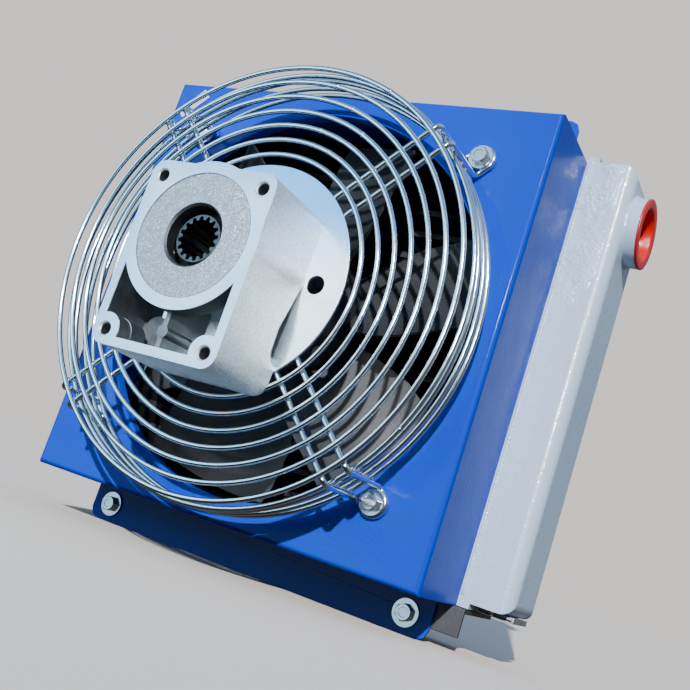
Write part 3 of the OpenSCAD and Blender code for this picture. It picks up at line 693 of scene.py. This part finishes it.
# --------------------------------------------------------------------------
# weld beads on the tanks: rippled beads, small craters and spatter
def bead_line(b, p0, p1, up, side, width, height, step=2.2, seed=1, sink=0.25, cross=9):
    """A rippled bead from p0 to p1. up is the way it stands out, side is across it."""
    r2 = random.Random(seed)
    p0, p1, up, side = Vector(p0), Vector(p1), Vector(up).normalized(), Vector(side).normalized()
    length = (p1 - p0).length
    d = (p1 - p0).normalized()
    n = int(length / 0.55)
    rows = []
    ripple = [r2.uniform(0.75, 1.0) for _ in range(int(length / step) + 3)]
    for i in range(n + 1):
        s = length * i / n
        c = s / step
        k = int(c)
        f = c - k
        h = height * ripple[k] * (0.70 + 0.30 * math.sqrt(max(0.0, 1 - (2 * f - 1) ** 2)))
        wv = width * (0.90 + 0.10 * math.sin(s * 0.31 + seed) + 0.05 * math.sin(s * 1.7))
        end = min(1.0, min(s, length - s) / 2.5)
        h *= 0.25 + 0.75 * end
        row = []
        for j in range(cross):
            q = -1 + 2 * j / (cross - 1)
            lag = 0.9 * (1 - q * q)  # the ripples are crescents
            hh = h * math.sqrt(max(0.0, 1 - q * q))
            row.append(tuple(p0 + d * (s + lag - 0.45) + side * (q * wv / 2) + up * (hh - sink * (abs(q) > 0.98))))
        rows.append(row)
    b.grid(rows, closed_u=False)


def blob(b, c, up, r, h, seg=8):
    """A low rounded drop on a surface."""
    a, u, w = frame_of(up)
    c = Vector(c)
    rows = []
    for k in range(4):
        q = k / 4
        rr, hh = r * math.cos(q * math.pi / 2), h * math.sin(q * math.pi / 2)
        rows.append([tuple(c + a * hh + u * (rr * math.cos(2 * math.pi * j / seg)) + w * (rr * math.sin(2 * math.pi * j / seg)))
                     for j in range(seg)])
    rows.append([tuple(c + a * h)] * seg)
    b.grid(rows)


def flush_strip(b, x, y, z0, z1, up, w=4.5, h=0.10):
    """A ground-flush seam: a very low rounded band."""
    rows = []
    n = 60
    for i in range(n + 1):
        z = z0 + (z1 - z0) * i / n
        e = min(1.0, i / 3, (n - i) / 3)
        rows.append([(x + w * q, y + up * (h * e * (1 - q * q) - 0.02), z) for q in (-1, -0.75, -0.5, -0.25, 0, 0.25, 0.5, 0.75, 1)])
    b.grid(rows, closed_u=False)


def welds():
    b = Build()
    for s in (-1, 1):
        for yy, up in ((BACK_Y, (0, -1, 0)), (BACK_Y + TANK_D, (0, 1, 0))):
            bead_line(b, (s * 152.2, yy, -142.6), (s * 152.2, yy, 147.9), up, (1, 0, 0), 3.1, 1.25, 2.9, seed=int(5 + s + yy))
            flush_strip(b, s * HEAD_X, yy, -144.5, 150.0, up[1])
            r2 = random.Random(int(11 + s + yy))
            for _ in range(46):
                z = r2.uniform(-138, 142)
                x = 155.0 + abs(r2.gauss(0, 5.0))
                rr = r2.uniform(0.20, 0.50)
                blob(b, (s * min(x, 174), yy, z), up, rr, rr * 0.5, 7)
        # beads along the tank's top and bottom, against the header plate
        for zz, up in ((TANK_TOP, (0, 0, 1)), (-TANK_H2, (0, 0, -1))):
            bead_line(b, (s * (HEAD_X + 1.2), BACK_Y + 9, zz), (s * (HEAD_X + 1.2), BACK_Y + TANK_D - 9, zz), up, (1, 0, 0), 4.5, 1.6, 2.4,
                      seed=int(9 + s + zz))
    o = b.done("tank_weld_beads", "cooler", "tank_paint", sharp=None)
    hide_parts("tank_welds")
    # smooth fillet round each port boss, down to the tank's rounded edges
    b = Build()
    for s in (-1, 1):
        rows = []
        n, cross = 120, 8
        for i in range(n):
            th = 2 * math.pi * i / n
            row = []
            for j in range(cross + 1):
                q = j / cross
                rad = 23.45 + 1.8 * (1 - math.cos(q * math.pi / 2))
                yy = rad * math.cos(th)
                over = max(0.0, abs(yy) - 19.0)
                drop = 8.0 - math.sqrt(max(0.0, 64.0 - over * over))
                up = 1.8 * (1 - math.sin(q * math.pi / 2))
                row.append((s * (TANK_X + up - drop * (0.35 + 0.65 * q) - 0.03), PORT_Y + yy, PORT_Z + rad * math.sin(th)))
            rows.append(row)
        b.grid(rows, closed_u=False, closed_v=True)
    b.done("port_fillets", "cooler", "tank_paint", sharp=None)


def plugs():
    """Soft transit plugs: a thin rim over the boss and a bowl-shaped cup with rounded corners."""
    prof = [(0.0, -12.0), (15.0, -12.0), (17.6, -11.8), (18.6, -11.0), (19.0, -9.8), (19.05, -6.0), (19.05, -0.3), (19.3, 0.05), (23.1, 0.08),
            (23.55, 0.25), (23.7, 0.6), (23.7, 1.15), (23.5, 1.5), (23.1, 1.68), (21.5, 1.68), (18.6, 1.62), (17.5, 1.45), (16.9, 1.05), (16.55, 0.4),
            (16.35, -0.6), (16.1, -2.5), (15.6, -5.0), (15.0, -7.2), (14.2, -8.7), (12.8, -9.7), (10.5, -10.2), (6.0, -10.3), (0.0, -10.3)]
    for s, side in ((1, "right"), (-1, "left")):
        b = Build()
        lathe(b, (s * PLUG_X, PORT_Y, PORT_Z), (s, 0, 0), prof, 96)
        o = b.done("transit_plug_" + side, "plug_" + side, "plug_red", sharp=60)
        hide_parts("port_plug_" + side)


plugs()

welds()


# --------------------------------------------------------------------------
# guard: flattened crossings where the rings are welded to the spokes, and butt welds in the rings
def lump(b, c, axis, r_axis, r_side, seg=14, warp=0.0):
    """An ellipsoid: r_axis along axis, r_side across it."""
    prof = [(r_side * math.sin(math.pi * k / 8), -r_axis * math.cos(math.pi * k / 8)) for k in range(9)]
    lathe(b, c, axis, prof, seg, warp=lambda rr, t, th: rr * (1 + 0.10 * math.sin(2 * th + warp)))


def guard_welds():
    b = Build()
    r2 = random.Random(5)
    rings = [79, 89.3, 99.5, 109.6, 119.8, 130.1, 140.4]
    for a, _r in SPOTS:
        ca, sa = math.cos(math.radians(a)), math.sin(math.radians(a))
        for v in (-7.5, 7.5):
            for r in rings:
                u = math.sqrt(r * r - v * v)
                lump(b, (u * ca - v * sa, 0.5 * (RING_Y + 1.6 + SPOKE_Y - 1.9) + 0.1, u * sa + v * ca), (0, 1, 0), 1.1, 2.0 + r2.uniform(-0.1, 0.2), warp=r2.random() * 6)
            for yy in (69.5, 75.5, 85.5, 94.0):
                u = 144.3
                lump(b, (u * ca - v * sa, yy + r2.uniform(-0.2, 0.2), u * sa + v * ca), (ca, 0, sa), 1.5, 2.3 + r2.uniform(-0.15, 0.25), warp=r2.random() * 6)
    # butt welds: a thin raised collar around the wire
    for k, r in enumerate(rings):
        th = math.radians(61 + 2.2 * ((k * 37) % 11))
        x, z = r * math.cos(th), r * math.sin(th)
        t = (-math.sin(th), 0, math.cos(th))
        lathe(b, (x - t[0] * 0.9, RING_Y, z - t[2] * 0.9), t, [(1.55, 0), (1.8, 0.35), (1.9, 0.8), (1.82, 1.3), (1.55, 1.8)], 14)
    for k, yy in enumerate((69.5, 75.5, 85.5, 94.0)):
        th = math.radians(-28 - 3.0 * k)
        x, z = GUARD_R * math.cos(th), GUARD_R * math.sin(th)
        t = (-math.sin(th), 0, math.cos(th))
        lathe(b, (x - t[0] * 0.9, yy, z - t[2] * 0.9), t, [(1.55, 0), (1.8, 0.35), (1.9, 0.8), (1.82, 1.3), (1.55, 1.8)], 14)
    b.done("guard_weld_marks", "cooler", "guard_wire", sharp=None)


guard_welds()


# --------------------------------------------------------------------------
# motor bracket: helpers to remesh and relax a CAD solid like a die casting and to snap machined planes (neither is
# applied); the bracket gets bevelled edges and threads in its motor holes
def smoothed_copy(node, name, body, slot, voxel, rounds, keep=None, extra=None, factor=0.5):
    src = N[node]
    me = src.data.copy()
    ob = bpy.data.objects.new(name, me)
    COL.objects.link(ob)
    if "custom_normal" in me.attributes:
        me.attributes.remove(me.attributes["custom_normal"])
    bm = bmesh.new()
    bm.from_mesh(me)
    bmesh.ops.remove_doubles(bm, verts=bm.verts, dist=2e-5)
    bmesh.ops.recalc_face_normals(bm, faces=bm.faces)
    if extra:
        extra(bm)
    bm.to_mesh(me)
    bm.free()
    r = ob.modifiers.new("remesh", "REMESH")
    r.mode, r.voxel_size, r.adaptivity = "VOXEL", voxel * MM, 0.0
    dg = bpy.context.evaluated_depsgraph_get()
    out = bpy.data.meshes.new_from_object(ob.evaluated_get(dg))
    bpy.data.objects.remove(ob, do_unlink=True)
    bm = bmesh.new()
    bm.from_mesh(out)
    bm.verts.ensure_lookup_table()
    for _ in range(rounds):
        lock = [] if keep is None else [v for v in bm.verts if keep(v.co / MM)]
        pos = {v: v.co.copy() for v in lock}
        bmesh.ops.smooth_vert(bm, verts=bm.verts, factor=factor, use_axis_x=True, use_axis_y=True, use_axis_z=True)
        for v, p in pos.items():
            v.co = p
    bm.to_mesh(out)
    bm.free()
    out.name = name
    o = place(name, out, body, slot, None, True, None)
    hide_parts(node)
    return o


def snap_planes(o, planes, tol=0.30):
    """Puts vertices that lie near a flat machined plane back on it."""
    me = o.data
    n = len(me.vertices)
    co = np.zeros(n * 3)
    me.vertices.foreach_get("co", co)
    co = co.reshape(-1, 3)
    for axis, value in planes:
        near = np.abs(co[:, axis] - value * MM) < tol * MM
        co[near, axis] = value * MM
    me.vertices.foreach_set("co", co.ravel())
    me.update()


dress("motor_bracket", 0.45, 3, 28)


def motor_threads():
    """Thread turns in the four motor holes."""
    b = Build()
    for x in (-35.75, 35.75):
        for z in (32.5, -63.7):
            seg, sub, pitch, length = 28, 4, 1.25, 17.0
            n = int(length / pitch * sub)
            rows = []
            for i in range(n + 1):
                t = 1.1 + length * i / n
                row = []
                for k in range(seg):
                    th = 2 * math.pi * k / seg
                    ph = (t / pitch - k / seg) % 1.0
                    rr = 3.34 + 0.55 * abs(ph - 0.5) * 2
                    row.append((x + rr * math.cos(th), t, z + rr * math.sin(th)))
                rows.append(row)
            b.grid(rows)
    return b.done("motor_hole_threads", "cooler", "cast_alu", M["fastener"], sharp=None)


motor_threads()

# --------------------------------------------------------------------------
# floor, world, lights, camera
def stage():
    me = bpy.data.meshes.new("stage_floor")
    z = -176.55 * MM
    s = 14.0
    n = 8
    v, f = [], []
    for i in range(n + 1):
        for j in range(n + 1):
            v.append((-s + 2 * s * i / n, -s + 2 * s * j / n, z))
    for i in range(n):
        for j in range(n):
            a = i * (n + 1) + j
            f.append((a, a + 1, a + n + 2, a + n + 1))
    me.from_pydata(v, [], f)
    me.update()
    ob = bpy.data.objects.new("stage_floor", me)
    COL.objects.link(ob)
    m = Mat("stage_floor").set(rough=0.95, spec=0.0)
    col = m.ramp(m.noise(1.5, 2), [(0.3, (0.985, 0.850, 0.735)), (0.7, (0.990, 0.860, 0.745))])
    m.out(col)
    me.materials.append(m.m)
    ob.visible_diffuse = ob.visible_glossy = ob.visible_transmission = ob.visible_shadow = False
    return ob


stage()


def world():
    w = bpy.data.worlds.new("studio")
    bpy.context.scene.world = w
    w.use_nodes = True
    nt = w.node_tree
    for n in list(nt.nodes):
        nt.nodes.remove(n)
    out = nt.nodes.new("ShaderNodeOutputWorld")
    bg1 = nt.nodes.new("ShaderNodeBackground")
    bg2 = nt.nodes.new("ShaderNodeBackground")
    mix = nt.nodes.new("ShaderNodeMixShader")
    lp = nt.nodes.new("ShaderNodeLightPath")
    tc = nt.nodes.new("ShaderNodeTexCoord")
    # colour by height: dim brown-grey ground, whitish horizon, blue sky with a bright band
    sep = nt.nodes.new("ShaderNodeSeparateXYZ")
    nt.links.new(tc.outputs["Generated"], sep.inputs[0])

    def ranged(val, a0, a1, b0, b1, smooth=False):
        r = nt.nodes.new("ShaderNodeMapRange")
        if smooth:
            r.interpolation_type = "SMOOTHSTEP"
        r.inputs["From Min"].default_value, r.inputs["From Max"].default_value = a0, a1
        r.inputs["To Min"].default_value, r.inputs["To Max"].default_value = b0, b1
        nt.links.new(val, r.inputs["Value"])
        return r.outputs["Result"]

    ramp = nt.nodes.new("ShaderNodeValToRGB")
    els = ramp.color_ramp.elements
    stops = [(0.0, (0.10, 0.095, 0.09)), (0.38, (0.12, 0.115, 0.11)), (0.48, (0.15, 0.15, 0.15)), (0.525, (0.19, 0.21, 0.23)), (0.585, (0.12, 0.15, 0.19)),
             (0.66, (0.25, 0.29, 0.35)), (0.80, (0.34, 0.47, 0.68)), (1.0, (0.28, 0.48, 0.86))]
    while len(els) < len(stops):
        els.new(0.5)
    for e, (p, c) in zip(els, stops):
        e.position, e.color = p, (*c, 1.0)
    nt.links.new(ranged(sep.outputs["Z"], -1.0, 1.0, 0.0, 1.0), ramp.inputs["Fac"])
    # darker towards the photographer's side
    dot = nt.nodes.new("ShaderNodeVectorMath")
    dot.operation = "DOT_PRODUCT"
    dot.inputs[1].default_value = (0.40, 0.90, 0.17)
    nt.links.new(tc.outputs["Generated"], dot.inputs[0])
    fac = ranged(dot.outputs["Value"], -0.9, 0.5, 0.22, 1.0, True)
    mul = nt.nodes.new("ShaderNodeVectorMath")
    mul.operation = "SCALE"
    nt.links.new(ramp.outputs["Color"], mul.inputs[0])
    nt.links.new(fac, mul.inputs["Scale"])
    nt.links.new(mul.outputs[0], bg1.inputs["Color"])
    bg1.inputs["Strength"].default_value = 1.0
    bg2.inputs["Color"].default_value = (0.93, 0.90, 0.88, 1.0)
    bg2.inputs["Strength"].default_value = 1.0
    nt.links.new(lp.outputs["Is Camera Ray"], mix.inputs[0])
    nt.links.new(bg1.outputs[0], mix.inputs[1])
    nt.links.new(bg2.outputs[0], mix.inputs[2])
    nt.links.new(mix.outputs[0], out.inputs[0])


world()


def sun(name, direction, energy, angle, color=(1, 1, 1)):
    l = bpy.data.lights.new(name, "SUN")
    l.energy, l.angle, l.color = energy, math.radians(angle), color
    o = bpy.data.objects.new(name, l)
    COL.objects.link(o)
    o.rotation_mode = "QUATERNION"
    o.rotation_quaternion = Vector(direction).to_track_quat("Z", "Y")
    o.location = Vector(direction) * 2
    return o


def softbox(name, loc, target, size, energy, color=(1, 1, 1)):
    l = bpy.data.lights.new(name, "AREA")
    l.shape, l.size, l.size_y, l.energy, l.color = "RECTANGLE", size[0], size[1], energy, color
    o = bpy.data.objects.new(name, l)
    COL.objects.link(o)
    d = Vector(loc) - Vector(target)
    o.rotation_mode = "QUATERNION"
    o.rotation_quaternion = d.to_track_quat("Z", "Y")
    o.location = loc
    o.visible_camera = False
    return o


sun("key", (0.26, -0.864, 0.432), 5.2, 1.0, (0.94, 0.98, 1.0))
glint = softbox("edge_glint", (0.36, -1.08, 0.22), (0.0, 0.05, 0.0), (0.14, 0.14), 16.0, (0.92, 0.97, 1.0))
glint.visible_diffuse = False
wide = softbox("front_wide", (-0.34, -0.54, 0.10), (0.0, 0.05, 0.0), (0.84, 0.86), 2.3, (0.50, 0.78, 1.0))
wide.visible_diffuse = False
softbox("front", (-0.42, -0.50, 0.14), (0.0, 0.05, 0.0), (0.46, 0.46), 1.5, (0.40, 0.74, 1.0))

R = ((0.85254704, 0.41922511, 0.31211193), (0.19218899, 0.3038701, -0.93312719), (-0.48603184, 0.8555193, 0.17849311))
C = (0.3474469946, -0.40713744687, -0.12762570484)
cd = bpy.data.cameras.new("camera")
cd.sensor_width = 36.0
cd.lens = 36.0 * 964.4636895 / 690.0
cd.clip_start, cd.clip_end = 0.02, 60.0
cam = bpy.data.objects.new("camera", cd)
COL.objects.link(cam)
cam.matrix_world = Matrix(((R[0][0], -R[1][0], -R[2][0], C[0]), (R[0][1], -R[1][1], -R[2][1], C[1]), (R[0][2], -R[1][2], -R[2][2], C[2]), (0, 0, 0, 1)))
bpy.context.scene.camera = cam

bpy.context.view_layer.update()
